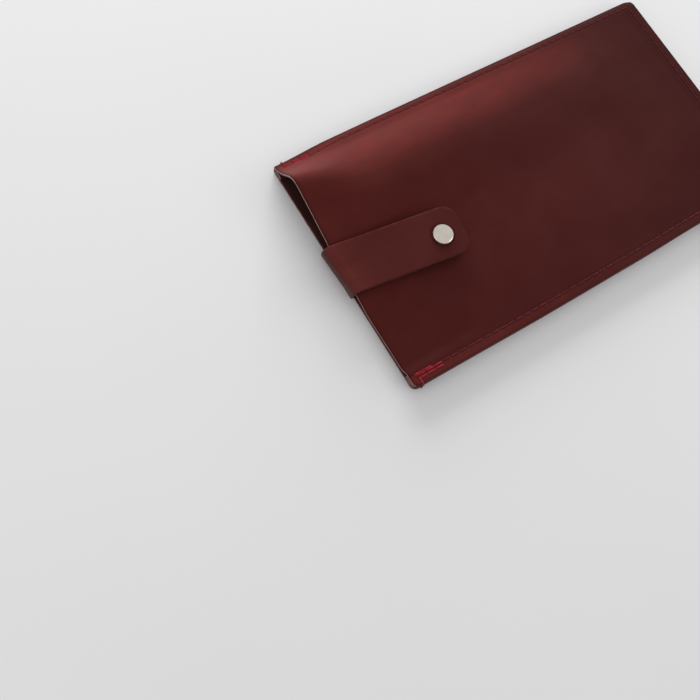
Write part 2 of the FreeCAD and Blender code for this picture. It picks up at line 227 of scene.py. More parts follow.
def surfaced(tree, shader, colour, roughness, height, strength, depth):
    """Gives the shader its colour, its roughness and a fine relief, depth in millimetres."""
    bump = add(tree, "Bump", {"Strength": strength, "Distance": depth * MM, "Height": height})
    for key, value in {"Base Color": colour, "Roughness": roughness, "Normal": bump}.items():
        tree.links.new(value, shader.inputs[key])


DARKENED = "1d0a0a"                     # leather under painted shade, and at a dyed cut
MID_NOISE = (0.3, 0.7)                  # the range that most of a noise lies in


def leather_grain(name, deep, body, highlight_and_pale,
                  grain=0.75, rough=(0.5, 0.6), relief=0.05, gloss=0.4):
    """Dyed leather, darker in its pores.

    The tone of the mesh makes it paler above 0, mostly as painted highlight, and
    darker below 0, mostly as painted shade and at the dyed cut edges.  grain is the spacing of the
    pores and relief their depth.
    """
    made, tree, shader = material(name, IOR=1.5, Specular_IOR_Level=gloss,
                                  Specular_Tint=srgb("ff5c58"))
    place = surface_place(tree)
    cloud = cloud_of(tree, place, size=22, detail=4)
    streak = cloud_of(tree, drawn_out(tree, place, 0.35), size=5, detail=3)
    fine = cloud_of(tree, place, size=0.5, detail=2)
    pores = add(tree, "TexVoronoi", {"Vector": place, "Scale": 1 / (grain * MM), "Randomness": 1})
    tone = add(tree, "Attribute", {}, "Fac", attribute_name="tone")
    shade = mixed(tree, ranged(tree, cloud, MID_NOISE), srgb(deep), srgb(body))
    patchy = ranged(tree, streak, MID_NOISE, (0.35, 0.65))
    # tone above 0 mixes in the pale colour: painted highlight, and a paler margin
    highlighted_and_paled = mixed(tree, product(tree, tone, patchy), shade, srgb(highlight_and_pale))
    # tone below 0 mixes in the dark colour: painted shade, and the dyed cut edges
    darkened = mixed(tree, product(tree, tone, -1), highlighted_and_paled, srgb(DARKENED))
    pore_shade = ranged(tree, pores, (0, 0.35), (0.86, 1))
    colour = mixed(tree, 1, darkened, pore_shade, "MULTIPLY")
    dull = ranged(tree, streak, MID_NOISE, rough)
    height = add(tree, "Math", {0: pores, 1: 0.6, 2: fine}, operation="MULTIPLY_ADD")
    surfaced(tree, shader, colour, dull, height, strength=0.5, depth=relief)
    return made


def cut_fibres(name, dark, light):
    """Cut edge of leather: short fibres in layers, paler and darker."""
    made, tree, shader = material(name, IOR=1.45, Specular_IOR_Level=0.25)
    place = surface_place(tree)
    layers = cloud_of(tree, drawn_out(tree, place, 0.12), size=0.35, detail=3)
    tufts = cloud_of(tree, place, size=0.9, detail=3)
    both = total(tree, layers, tufts)
    colour = mixed(tree, ranged(tree, both, (0.75, 1.25)), srgb(dark), srgb(light))
    dull = ranged(tree, tufts, wanted=(0.6, 0.85))
    surfaced(tree, shader, colour, dull, both, strength=0.7, depth=0.12)
    return made


def waxed_thread(name, dark, light):
    """Waxed linen thread: fine fibres, and wax that is duller in some places than in others."""
    made, tree, shader = material(name, IOR=1.5, Specular_IOR_Level=0.25)
    place = object_place(tree)
    fibres = cloud_of(tree, place, size=0.25, detail=2)
    lumps = cloud_of(tree, place, size=3, detail=2)
    both = total(tree, fibres, lumps)
    colour = mixed(tree, ranged(tree, both, (0.7, 1.3)), srgb(dark), srgb(light))
    dull = ranged(tree, lumps, wanted=(0.35, 0.65))
    surfaced(tree, shader, colour, dull, fibres, strength=0.6, depth=0.06)
    return made


def plated_metal(name, base, rough):
    """Plated or drawn metal: reflective, with hairline scratches and a little haze."""
    made, tree, shader = material(name, Metallic=1.0)
    place = object_place(tree)
    haze = cloud_of(tree, place, size=2.5, detail=4)
    hairs = cloud_of(tree, drawn_out(tree, place, 0.06), size=0.12, detail=1)
    colour = mixed(tree, haze, srgb(base), srgb("efe9df"))
    dull = ranged(tree, haze, MID_NOISE, (rough * 0.8, rough * 1.3))
    surfaced(tree, shader, colour, dull, hairs, strength=0.12, depth=0.02)
    return made


# Oxblood full-grain cowhide, smooth and lightly waxed: a soft broad shine, red from the dye.
# Its third colour, paler, is mixed in as painted highlight.
GRAIN = leather_grain("oxblood_full_grain", "3b1a18", "43201d", "8e3733")
# The strap is handled more, so its face is a little smoother.
# Its third colour, paler, is mixed in as painted highlight on the strap.
STRAP_GRAIN = leather_grain("oxblood_strap_grain", "3c1b19", "44211e", "84423d",
                            rough=(0.45, 0.55))
# Flesh side of the hide: brown nap with hardly any shine.
FLESH = leather_grain("brown_flesh_side", "2b1a17", "3d2621", "5a4038",
                      grain=0.5, rough=(0.75, 0.9), relief=0.12, gloss=0.2)
# Raw cut at the mouth: pale pinkish fibres.
RAW_EDGE = cut_fibres("raw_cut_edge", "6e4b4b", "b5918c")
# The same cut on the welts and the back panel, with dirt in its fibres.
SOILED_EDGE = cut_fibres("soiled_cut_edge", "4a2d30", "8a6465")
# Long edges, dyed and burnished dark.
DYED_EDGE = cut_fibres("burnished_edge", "331516", "5c2a2a")
# Dark red waxed seam thread, and the crimson waxed thread of the tacks.
SEAM_THREAD = waxed_thread("waxed_dark_red_thread", "431416", "642228")
TACK_THREAD = waxed_thread("waxed_crimson_thread", "741020", "b8283e")
# Polished nickel plate: warm white, reflections a little soft.
NICKEL = plated_metal("polished_nickel_plate", "d9cfc2", 0.24)
# Drawn steel wire of the ring in the socket: grey, duller than the plate.
SPRING_STEEL = plated_metal("drawn_spring_wire", "a9a9a8", 0.35)


# ---- leather sheets ----
SLACK = 0.01                            # for comparing places
SAME_LINE = 0.02                        # grid lines this close together become one
RIM_LINES = 3                           # over the quarter turn of a rounded edge


def spaced(start, end, step):
    count = max(1, round((end - start) / step))
    return [start + (end - start) * i / count for i in range(count + 1)]


def rim(end, inward):
    """Grid lines that round an edge over a quarter turn."""
    step = math.pi / (2 * RIM_LINES)
    return [end + inward * EDGE_R * (1 - math.cos(step * i)) for i in range(RIM_LINES)]


def merged(*groups):
    """Sorted grid lines, without near duplicates."""
    lines = []
    for value in sorted(v for group in groups for v in group):
        if not lines or value - lines[-1] > SAME_LINE:
            lines.append(value)
    return lines


def mirrored(lines):
    return [-v for v in reversed(lines)]


def edge_drop(inset):
    """How much a rounded edge takes off each face, this far in from it."""
    if inset >= EDGE_R:
        return 0
    return EDGE_R - math.sqrt(max(EDGE_R ** 2 - (EDGE_R - inset) ** 2, 0))


def rounded_corner(a, b):
    """Moves a point of a square corner onto a quarter disc, ring for ring."""
    if a <= 0 or b <= 0:
        return a, b
    ring = max(a, b)
    turn = math.pi / 4 * (b / a if a >= b else 2 - a / b)
    return ring * math.cos(turn), ring * math.sin(turn)


def outline(x, y):
    """Plan place of a grid point, with three of the guard's corners rounded."""
    side = 1 if y > 0 else -1
    if x > 0:
        a, b = rounded_corner(x - (TOE_X - CORNER_R), abs(y) - (HALF_W - CORNER_R))
        return TOE_X - CORNER_R + a, side * (HALF_W - CORNER_R + b)
    if side < 0:
        a, b = rounded_corner(MOUTH_X + MOUTH_CORNER_R - x, MOUTH_CORNER_R - HALF_W - y)
        return MOUTH_X + MOUTH_CORNER_R - a, MOUTH_CORNER_R - HALF_W - b
    return x, y


def sheet(name, us, vs, place, skins, keep=None):
    """Closed leather sheet over a grid.

    place(u, v) gives the outer point, the inner point, the unrolled place and the tone.
    skins are the materials of the outer face, the inner face, the edges, and the cut at
    the mouth where the piece has one.
    """
    cells = {(i, j) for i in range(len(us) - 1) for j in range(len(vs) - 1)
             if keep is None or keep((us[i] + us[i + 1]) / 2, (vs[j] + vs[j + 1]) / 2)}
    points, number, flat, tones = [], {}, [], []
    for i, j in sorted({(i + a, j + b) for i, j in cells for a in (0, 1) for b in (0, 1)}):
        outer, inner, unrolled, tone = place(us[i], vs[j])
        for side, point in enumerate((outer, inner)):
            number[i, j, side] = len(points)
            points.append(point * MM)
            flat.append(unrolled)
            tones.append(tone)
    faces, skin, walls = [], [], []
    for i, j in sorted(cells):
        ring = [(i, j), (i + 1, j), (i + 1, j + 1), (i, j + 1)]
        faces.append([number[*p, 0] for p in ring])
        faces.append([number[*p, 1] for p in reversed(ring)])
        skin += [0, 1]
        walls += [False, False]
        neighbours = [(i, j - 1), (i + 1, j), (i, j + 1), (i - 1, j)]
        for k, beside in enumerate(neighbours):
            if beside not in cells:
                a, b = ring[k], ring[(k + 1) % 4]
                faces.append([number[*b, 0], number[*a, 0], number[*a, 1], number[*b, 1]])
                at_mouth = k == 3 and us[i] > MOUTH_X - SLACK
                skin.append(3 if at_mouth and len(skins) == 4 else 2)
                walls.append(True)
    mesh = bpy.data.meshes.new(name)
    mesh.from_pydata(points, [], faces)
    layer = mesh.uv_layers.new(name="unrolled")
    for face, wall in zip(mesh.polygons, walls):
        for loop in face.loop_indices:
            index = mesh.loops[loop].vertex_index
            u, v = flat[index]
            if wall:
                u, v = u + v, (index % 2) * PANEL_T
            layer.data[loop].uv = (u * MM, v * MM)
    tone_layer = mesh.attributes.new("tone", "FLOAT", "POINT")
    for index, tone in enumerate(tones):
        tone_layer.data[index].value = tone
    for leather in skins:
        mesh.materials.append(leather)
    for face, index in zip(mesh.polygons, skin):
        face.material_index = index
    mesh.update()
    return finished(name, mesh, smooth_angle=40)


def finished(name, mesh, smooth_angle):
    """Adds the object, shaded smooth except over corners sharper than the angle."""
    for face in mesh.polygons:
        face.use_smooth = True
    mesh.set_sharp_from_angle(angle=math.radians(smooth_angle))
    piece = bpy.data.objects.new(name, mesh)
    bpy.context.scene.collection.objects.link(piece)
    return piece


def solid(name, points, faces, surface, smooth_angle):
    """A closed piece of one material."""
    mesh = bpy.data.meshes.new(name)
    mesh.from_pydata(points, [], faces)
    mesh.materials.append(surface)
    return finished(name, mesh, smooth_angle)


# ---- ridge of the front panel, as in the CAD ----
NET_X, NET_Y = MOUTH_X - 10, -HALF_W - 5    # first control point of the CAD surface
NET_COUNT_X = round(LENGTH / SMOOTH_X) + 3
NET_COUNT_Y = round(2 * HALF_W / SMOOTH_Y) + 5
SLOPE_STEP = 0.4                        # half the run over which a slope is measured


def bulge_control(x, y):
    """Height of the CAD surface's control points over the seam margin."""
    ridge = BULGE_H * (1 - share((x - MOUTH_X) / (LENGTH - BULGE_END))) ** BULGE_FADE
    spread = eased((x - MOUTH_X) / SPREAD_RUN)
    inward = RIDGE_SPREAD * spread
    ridge_y = HALF_W - RIDGE_IN - inward
    flank = share((HALF_W - y - SEAM_MARGIN) / (RIDGE_OUT + inward - SEAM_MARGIN))
    slope = share((y - SLOPE_FOOT_Y) / (ridge_y - SLOPE_FOOT_Y))
    round_flank = math.sin(math.pi / 2 * flank)
    round_slope = (1 - math.cos(math.pi * slope)) / 2
    return ridge * min(flank + (round_flank - flank) * spread,
                       slope + (round_slope - slope) * spread)


def spline_weights(places, step, origin, count):
    """Share of each control point of a cubic spline at each place, one row for each place."""
    d = np.abs((np.array(places)[:, None] - origin) / step - np.arange(count)[None, :])
    return np.where(d < 1, (4 - 6 * d ** 2 + 3 * d ** 3) / 6, np.clip(2 - d, 0, None) ** 3 / 6)


def bulge_grid(xs, ys):
    """Height of the bulge, and its slopes along x and y, at each place of a grid."""
    net = np.array([[bulge_control(NET_X + SMOOTH_X * i, NET_Y + SMOOTH_Y * j)
                     for j in range(NET_COUNT_Y)] for i in range(NET_COUNT_X)])

    def rows(shift):
        return spline_weights(np.array(xs) + shift, SMOOTH_X, NET_X, NET_COUNT_X)

    def columns(shift):
        return spline_weights(np.array(ys) + shift, SMOOTH_Y, NET_Y, NET_COUNT_Y).T

    height = rows(0) @ net @ columns(0)
    along = (rows(SLOPE_STEP) - rows(-SLOPE_STEP)) @ net @ columns(0) / (2 * SLOPE_STEP)
    across = rows(0) @ net @ (columns(SLOPE_STEP) - columns(-SLOPE_STEP)) / (2 * SLOPE_STEP)
    return {(x, y): (height[i, j], along[i, j], across[i, j])
            for i, x in enumerate(xs) for j, y in enumerate(ys)}


# ---- how sewing and use have moved the leather ----
# A pair of numbers is a start and a run, as ramp takes them.
SPINE_DRAW = 0.1                        # the stitches draw the spine edge in
SPINE_MOUTH_DRAW = 1.0                  # and draw it in this much more at the mouth
SPINE_MOUTH_RUN = 26
SPINE_HEM = (49.5, 4)                   # the part of the width that is drawn in
EDGE_MOUTH_DRAW = 0.8                   # the cutting edge is drawn in at the mouth
EDGE_MOUTH_RUN = 75
EDGE_TOE_DRAW = 0.5                     # and again towards the toe
EDGE_TOE_RAMP = (117, 35)
EDGE_HEM = (45, 4.5)
SEAM_OUT = 0.9                          # behind its tack the spine seam lies further out
SEAM_OUT_RAMP = (12, 20)
SEAM_OUT_BESIDE = 3                     # and this far on both sides of it the leather gives way


def worked(x, y):
    """Plan place after sewing: the stitches draw the edges in, most of all at the mouth."""
    run = x - MOUTH_X
    spine = SPINE_DRAW + SPINE_MOUTH_DRAW * eased(1 - run / SPINE_MOUTH_RUN)
    cutting_edge = EDGE_MOUTH_DRAW * eased(1 - run / EDGE_MOUTH_RUN)
    cutting_edge += EDGE_TOE_DRAW * ramp(run, *EDGE_TOE_RAMP)
    outward = SEAM_OUT * ramp(run, *SEAM_OUT_RAMP)
    outward *= ramp(y, SEAM_Y - SEAM_OUT_BESIDE, SEAM_OUT_BESIDE)
    outward *= eased((HALF_W - y) / SEAM_OUT_BESIDE)
    return x, y - spine * ramp(y, *SPINE_HEM) + outward + cutting_edge * ramp(-y, *EDGE_HEM)


PRESSED = 0.8                           # down, at the spine edge
PRESSED_MOUTH = 0.4                     # and this much more at the mouth
PRESSED_MOUTH_RUN = 60
PRESSED_Y = SEAM_Y - 0.8                # where it starts
PRESSED_W = 4.8
PRESSED_POWER = 1.2


def margin_drop(x, y):
    """How far the spine margin is pressed down: most at its edge, and at the mouth."""
    deepest = PRESSED + PRESSED_MOUTH * eased(1 - (x - MOUTH_X) / PRESSED_MOUTH_RUN)
    return deepest * share((y - PRESSED_Y) / PRESSED_W) ** PRESSED_POWER


SAG = 1.9
SAG_RUN = 45
SAG_FROM_STRAP = (8, 14)
SAG_FROM_SEAM = (-47.5, 4)


def sag(x, y):
    """Between the strap and the cutting edge the front panel sinks at the mouth."""
    along = eased(1 - (x - MOUTH_X) / SAG_RUN)
    return SAG * along * ramp(-y, *SAG_FROM_STRAP) * ramp(y, *SAG_FROM_SEAM)


GROOVE, GROOVE_W = 0.25, 0.62           # along a seam
PIT, PIT_R = 0.4, 0.5                   # at a stitch hole
SEAM_END_W = 0.5                        # over which the groove ends
SEAM_TOUCH = 2                          # a seam has no effect further away
FRONT_DIP, BACK_DIP = 0.5, 0.9          # how far the two faces follow it


def hole_distance(along, start, pitch, count):
    """Distance along a seam to its nearest hole."""
    nearest = min(max(round((along - start) / pitch), 0), count)
    return abs(along - start - nearest * pitch)


def stitch_dip(x, y):
    """Dip of the leather at a seam or a tack: a groove, deepest at the holes."""
    dips = []
    lines = [(abs(y) - SEAM_Y, x, SEAM_START_X, SIDE_PITCH, SIDE_STITCHES),
             (abs(y) - SEAM_Y - TACK_OFFSET, x, SEAM_START_X, SIDE_PITCH, TACK_STITCHES),
             (x - SEAM_TOE_X, y, -SEAM_Y, TOE_PITCH, TOE_STITCHES)]
    for across, along, start, pitch, count in lines:
        if abs(across) > SEAM_TOUCH:
            continue
        past = max(start - along, along - start - count * pitch, 0)
        hole = hole_distance(along, start, pitch, count)
        groove = GROOVE * bell(across, GROOVE_W) * bell(past, SEAM_END_W)
        dips.append(groove + PIT * bell(math.hypot(across, hole, past), PIT_R))
    return max(dips, default=0)


WAVE_H = 0.45
WAVE_X, WAVE_Y = 31, 23
WAVE_LAYER = 0.7
WAVE_INSET, WAVE_FADE = 7, 10           # the leather is even at the seams


def waves(x, y):
    """Slow unevenness of worked leather, away from the seams."""
    inside = min(HALF_W - WAVE_INSET - abs(y), TOE_X - WAVE_INSET - x)
    return share(inside / WAVE_FADE) * waviness(x, y, WAVE_X, WAVE_Y, WAVE_LAYER) * WAVE_H


# ---- front panel ----
# Tones: above 0 the leather is painted paler, below 0 darker; most of this is painted highlight and
# painted shade.
# Painted highlight on the spine-side flank, paler where it slopes towards the light.
FLANK_HIGHLIGHT = 0.68
FLANK_SLOPE = 1.5                       # a slope of 1 in this gets the full painted highlight
FLANK_TOE, FLANK_LOSS = 1.25, 0.5       # share of it at the toe, and its loss at the mouth
FLANK_OWN = 2.5                         # how soon the flank's painted highlight hides the painted falloff of the flat parts
# painted highlight of the lit flank, carried out over the spine seam and margin
SPINE_HIGHLIGHT, SPINE_TOE_SHARE = 0.55, 0.4
SPINE_HIGHLIGHT_RAMP = (SEAM_Y - 1, 1.5)
# painted shade on the outer part of the spine margin, which does not face the light
SPINE_RIM_SHADE = -0.3
SPINE_RIM = (SEAM_Y + 0.6, 2)
# paler margin on the cutting-edge side
EDGE_TONE, EDGE_TOE_SHARE = 0.45, 0.5
EDGE_PALE_RAMP = (SEAM_Y - 0.9, 0.7)
MOUTH_LIGHT_TONE, FLAT_MIDDLE = 0.4, 0.6       # painted light falloff: the flat parts are paler near the mouth
# painted shade: darker towards the toe and towards the cutting-edge side
FAR_SHADE_TONE, FAR_X, FAR_RUN = -0.2, 20, 60
LOW_SHADE_TONE, LOW_Y, LOW_RUN = -0.28, 15, 30
# painted shade in the stitch groove
DIP_SHADE_TONE = -0.05
TOE_WELT_SHADE_TONE, TOE_LINE_INSET, TOE_LINE_W = -0.15, 6.5, 1.2     # painted shade line along the step at the toe's welt
CUT_TONE, CUT_W = -0.8, 0.45            # dye on the edges

WELLING, WELLING_OUT, WELLING_W = 0.04, 1.4, 0.6    # leather that wells up beside a seam
RISE_SHARE = 0.3                        # of the height, in the unrolled place


def panel_inset(x, y):
    return min(x - MOUTH_X, TOE_X - x, HALF_W - abs(y))


def front_tone(x, y, across, inset, dip):
    """Tone of the front panel at a place with this slope across, inset and dip: painted highlight
    and shade, and the dyed cut.
    """
    nearness = 1 - (x - MOUTH_X) / LENGTH
    # painted highlight of the flank, growing with its slope towards the light
    steepness = share(-FLANK_SLOPE * across) ** 0.5
    flank_highlight = FLANK_HIGHLIGHT * steepness * (FLANK_TOE - FLANK_LOSS * nearness)
    # the spine margin's painted highlight, strongest at the mouth like the flank's
    spine = ramp(y, *SPINE_HIGHLIGHT_RAMP) * (SPINE_TOE_SHARE + (1 - SPINE_TOE_SHARE) * nearness)
    edge = ramp(-y, *EDGE_PALE_RAMP) * (EDGE_TOE_SHARE + (1 - EDGE_TOE_SHARE) * nearness)
    tone = max(flank_highlight, SPINE_HIGHLIGHT * spine) + EDGE_TONE * edge
    # painted shade on the spine rim and in the stitch groove
    tone += SPINE_RIM_SHADE * ramp(y, *SPINE_RIM) + DIP_SHADE_TONE * dip
    # painted light falloff over the flat parts, hidden under the flank's painted highlight
    flat = MOUTH_LIGHT_TONE * (nearness - FLAT_MIDDLE)
    flat += FAR_SHADE_TONE * share((x - FAR_X) / FAR_RUN) + LOW_SHADE_TONE * share((-y - LOW_Y) / LOW_RUN)
    tone += flat * (1 - share(FLANK_OWN * flank_highlight))
    # painted shade line in front of the toe's welt
    tone += TOE_WELT_SHADE_TONE * bell(TOE_X - x - TOE_LINE_INSET, TOE_LINE_W)
    return tone + CUT_TONE * fading(inset, CUT_W)


def front_place(u, v):
    x, y = outline(u, v)
    height, along, across = relief[u, v]
    height += waves(x, y) - sag(x, y)
    normal = Vector((-along, -across, 1)).normalized()
    middle = Vector((*worked(x, y), STACK_Z + height)) - normal * PANEL_T / 2
    middle.z -= margin_drop(x, y)
    inset = panel_inset(u, v)
    half = PANEL_T / 2 - edge_drop(inset)
    dip = stitch_dip(x, y)
    from_seam = abs(min(HALF_W - abs(y), TOE_X - x) - SEAM_INSET)
    welling = WELLING * bell(from_seam - WELLING_OUT, WELLING_W)
    outer = middle + normal * (half + welling - FRONT_DIP * dip)
    tone = front_tone(x, y, across, inset, dip)
    return outer, middle - normal * half, (x, y + RISE_SHARE * height), tone


FINE, COARSE = 0.4, 0.8                 # spacing of grid lines at the edges and between them
SEAM_STEP, SEAM_REACH = 0.15, 1.05
SEAM_LINES = [SEAM_STEP * k - SEAM_REACH for k in range(15)]    # closer lines across a seam
SEAM_BAND = 1.2                         # they take up this much on each side of a seam
TACK_BAND = 2.5                         # and with the tack's lines this much on its outer side
LINES_PER_STITCH = 8
side_rows = [SEAM_Y + d for d in SEAM_LINES]
tack_rows = [SEAM_Y + TACK_OFFSET + d for d in SEAM_LINES]
across_rows = merged(rim(-HALF_W, 1), rim(HALF_W, -1),
                     side_rows, tack_rows, [-r for r in side_rows + tack_rows],
                     spaced(-HALF_W + EDGE_R, -SEAM_Y - SEAM_BAND, FINE),
                     spaced(SEAM_Y + TACK_BAND, HALF_W - EDGE_R, FINE),
                     spaced(-SEAM_Y + SEAM_BAND, SEAM_Y - SEAM_BAND, COARSE))
along_columns = merged(rim(MOUTH_X, 1), rim(TOE_X, -1),
                       spaced(MOUTH_X + EDGE_R, SEAM_START_X, FINE),
                       spaced(SEAM_START_X, SEAM_TOE_X, SIDE_PITCH / LINES_PER_STITCH),
                       [SEAM_TOE_X + d for d in SEAM_LINES],
                       spaced(SEAM_TOE_X + SEAM_BAND, TOE_X - EDGE_R, FINE))

relief = bulge_grid(along_columns, across_rows)
front_panel = sheet("front_panel_leather", along_columns, across_rows, front_place,
                    [GRAIN, FLESH, DYED_EDGE, RAW_EDGE])
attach(front_panel, "root")
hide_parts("front_panel")


# ---- strap, unrolled on the line through the upper mouth ----
CORNER_RUN = math.pi / 2 * KNUCKLE_R
WALL_RUN = HIGH_AXIS_Z - LOW_AXIS_Z
OVERHANG = MOUTH_X - FOLD_X
LOW_MOUTH_U = -(2 * OVERHANG + 2 * CORNER_RUN + WALL_RUN)   # where the strap leaves the back panel
MID_WALL_U = -(OVERHANG + CORNER_RUN + WALL_RUN / 2)
FOLD_OUT_X = FOLD_X - KNUCKLE_R - PANEL_T / 2               # outer face of the fold


def strap_point(u, y, height):
    """Point of the strap at an unrolled place, this height outwards from mid leather."""
    back = -OVERHANG - u
    if back <= 0:
        return Vector((MOUTH_X + u, y, HIGH_AXIS_Z + KNUCKLE_R + height))
    reach = KNUCKLE_R + height
    if back <= CORNER_RUN:
        turn = back / KNUCKLE_R
        return Vector((FOLD_X - reach * math.sin(turn), y, HIGH_AXIS_Z + reach * math.cos(turn)))
    back -= CORNER_RUN
    if back <= WALL_RUN:
        return Vector((FOLD_X - KNUCKLE_R - height, y, HIGH_AXIS_Z - back))
    back -= WALL_RUN
    if back <= CORNER_RUN:
        turn = back / KNUCKLE_R
        return Vector((FOLD_X - reach * math.cos(turn), y, LOW_AXIS_Z - reach * math.sin(turn)))
    back -= CORNER_RUN
    return Vector((FOLD_X + back, y, LOW_AXIS_Z - KNUCKLE_R - height))


FOLD_HALF_W = 11                        # half the width of the strap at the fold
SHIFT, SHIFT_SKEW = 0.6, 0.75           # towards the mouth, and more on the cutting-edge side
FOOT_SHIFT, FOOT_SKEW = 0.7, 0.15       # the same, added at the foot
MOST_SHIFT = 1.45
SHIFT_RUN = 1.5                         # in front of the mouth, over which the shift comes in
ROUND_START = 0.5                       # behind the mouth, where the upper corner starts to round
ROUND_DROP = 1.6


def askew(point):
    """The fold lies closer to the mouth than its hinges do.

    It does so most of all at its foot and on its cutting-edge side.  Its upper corner is
    rounder than the hinge's own bend.
    """
    across = share((point.y + FOLD_HALF_W) / (2 * FOLD_HALF_W)) * 2 - 1
    foot = eased(1 - point.z / HIGH_AXIS_Z)
    shift = SHIFT - SHIFT_SKEW * across + (FOOT_SHIFT + FOOT_SKEW * across) * foot
    shift = min(shift, MOST_SHIFT)
    x = point.x + shift * share((MOUTH_X - point.x) / SHIFT_RUN)
    start = MOUTH_X + ROUND_START
    outward = share((start - x) / (start - FOLD_OUT_X - shift))
    return Vector((x, point.y, point.z - ROUND_DROP * outward ** 2 * (1 - foot)))


def strap_y(u, v):
    """Y of the strap's row v, where its unrolled run is at u."""
    return STRAP_Y - math.tan(SLANT) * u + v / math.cos(SLANT)


def strap_inset(v):
    return STRAP_W / 2 - abs(v)


CALM_R, CALM_RUN = 6, 8                 # the leather is even round the snap and at the mouth
SWAY_H, SWAY_X, SWAY_Y, SWAY_LAYER = 0.3, 17, 13, 3.1
CROWN_H = 0.12                          # the strap's edges curl down
DENT, DENT_R, DENT_W = 0.1, 4.6, 0.5    # ring pressed in round the cap
RING_TONE, RING_W = -0.5, 0.6           # darker leather in that ring, at the cap's edge
STRAP_EDGE_HIGHLIGHT, STRAP_EDGE_HIGHLIGHT_W, STRAP_EDGE_HIGHLIGHT_WAVE, STRAP_EDGE_HIGHLIGHT_ROW = 0.7, 0.5, 2.3, 5.7     # painted highlight, in patches, along the spine-side edge, which catches the light
STRAP_EDGE_HIGHLIGHT_LAYER = 0.2
BEND_HIGHLIGHT, BEND_AT, BEND_RUN = 0.4, -1, 7       # painted highlight over the fold's upper corner
WALL_TONE, WALL_FROM, WALL_TONE_RUN = -0.55, 1.5, 2     # shade in front of the mouth


def tongue_tone(t, u, v, snap):
    """Tone of the strap at a grid point whose unrolled run is u, this far from the snap: mostly
    painted highlight and shade.
    """
    # painted highlight along the spine-side edge, broken into patches
    patchy = 0.5 + waviness(u, STRAP_EDGE_HIGHLIGHT_ROW, STRAP_EDGE_HIGHLIGHT_WAVE, 1, STRAP_EDGE_HIGHLIGHT_LAYER)
    tone = STRAP_EDGE_HIGHLIGHT * patchy * fading(STRAP_W / 2 - v, STRAP_EDGE_HIGHLIGHT_W)
    # painted highlight over the fold's crest
    tone += BEND_HIGHLIGHT * fading(abs(t - BEND_AT), BEND_RUN)
    tone += WALL_TONE * share((-t - WALL_FROM) / WALL_TONE_RUN)
    return tone + RING_TONE * bell(snap - DENT_R, RING_W)


def tongue_place(t, v):
    """t is the unrolled run up to the mouth, and past it the share of the way to the tip."""
    if t <= 0:
        u, y = t, strap_y(t, v)
        tip_inset = STRAP_REACH
    else:
        start = -v * math.tan(SLANT)
        s = start + t / STRAP_REACH * (STRAP_REACH - start)
        tip_inset = STRAP_REACH - s
        side = 1 if v > 0 else -1
        a, b = rounded_corner(s - (STRAP_REACH - STRAP_TIP_R), abs(v) - (STRAP_W / 2 - STRAP_TIP_R))
        s, across = STRAP_REACH - STRAP_TIP_R + a, side * (STRAP_W / 2 - STRAP_TIP_R + b)
        u = s * math.cos(SLANT) + across * math.sin(SLANT)
        y = STRAP_Y - s * math.sin(SLANT) + across * math.cos(SLANT)
    half = PANEL_T / 2 - edge_drop(min(strap_inset(v), tip_inset))
    middle = strap_point(u, y, 0)
    snap = math.hypot(middle.x - SNAP_X, middle.y - SNAP_Y)
    calm = share((snap - CALM_R) / CALM_RUN) * share(t / CALM_RUN)
    sway = calm * waviness(u, y, SWAY_X, SWAY_Y, SWAY_LAYER) * SWAY_H
    crown = -CROWN_H * calm * (v / (STRAP_W / 2)) ** 4
    dent = -DENT * bell(snap - DENT_R, DENT_W)
    lift = Vector((0, 0, sway + crown))
    outer = askew(strap_point(u, y, half + dent)) + lift
    inner = askew(strap_point(u, y, -half)) + lift
    return outer, inner, (u, y), tongue_tone(t, u, v, snap)


STRAP_STEP, TONGUE_STEP, WALL_STEP, BEND_STEP = 0.45, 0.5, 0.4, 0.2
tip_corner = STRAP_W / 2 - STRAP_TIP_R
strap_rows = merged(rim(-STRAP_W / 2, 1), rim(STRAP_W / 2, -1), [-tip_corner, tip_corner],
                    spaced(-STRAP_W / 2 + EDGE_R, STRAP_W / 2 - EDGE_R, STRAP_STEP))
tongue_columns = merged(spaced(MID_WALL_U, -OVERHANG - CORNER_RUN, WALL_STEP),
                        spaced(-OVERHANG - CORNER_RUN, -OVERHANG, BEND_STEP), [0],
                        spaced(0, STRAP_REACH - EDGE_R, TONGUE_STEP), rim(STRAP_REACH, -1))
tongue = sheet("strap_tongue_leather", tongue_columns, strap_rows, tongue_place,
               [STRAP_GRAIN, FLESH, DYED_EDGE])
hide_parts("strap_tongue")


# ---- back panel, with the strap's root and the lower half of the fold ----
ROOT_ROWS = [strap_y(LOW_MOUTH_U, v) for v in strap_rows]
ROOT_LOW, ROOT_HIGH = ROOT_ROWS[0], ROOT_ROWS[-1]
ROOT_CLEAR = 0.1                        # rows of the panel this close to the root's are left out
ROOT_EDGE_RUN = 0.8                     # in front of the mouth, over which its edges round
# the second tone paints shade in the back panel's stitch grooves
BACK_TONE, BACK_DIP_SHADE_TONE = 0.2, -1.0
ROOT_TONE = 0.1
ROOT_STEP = 0.22


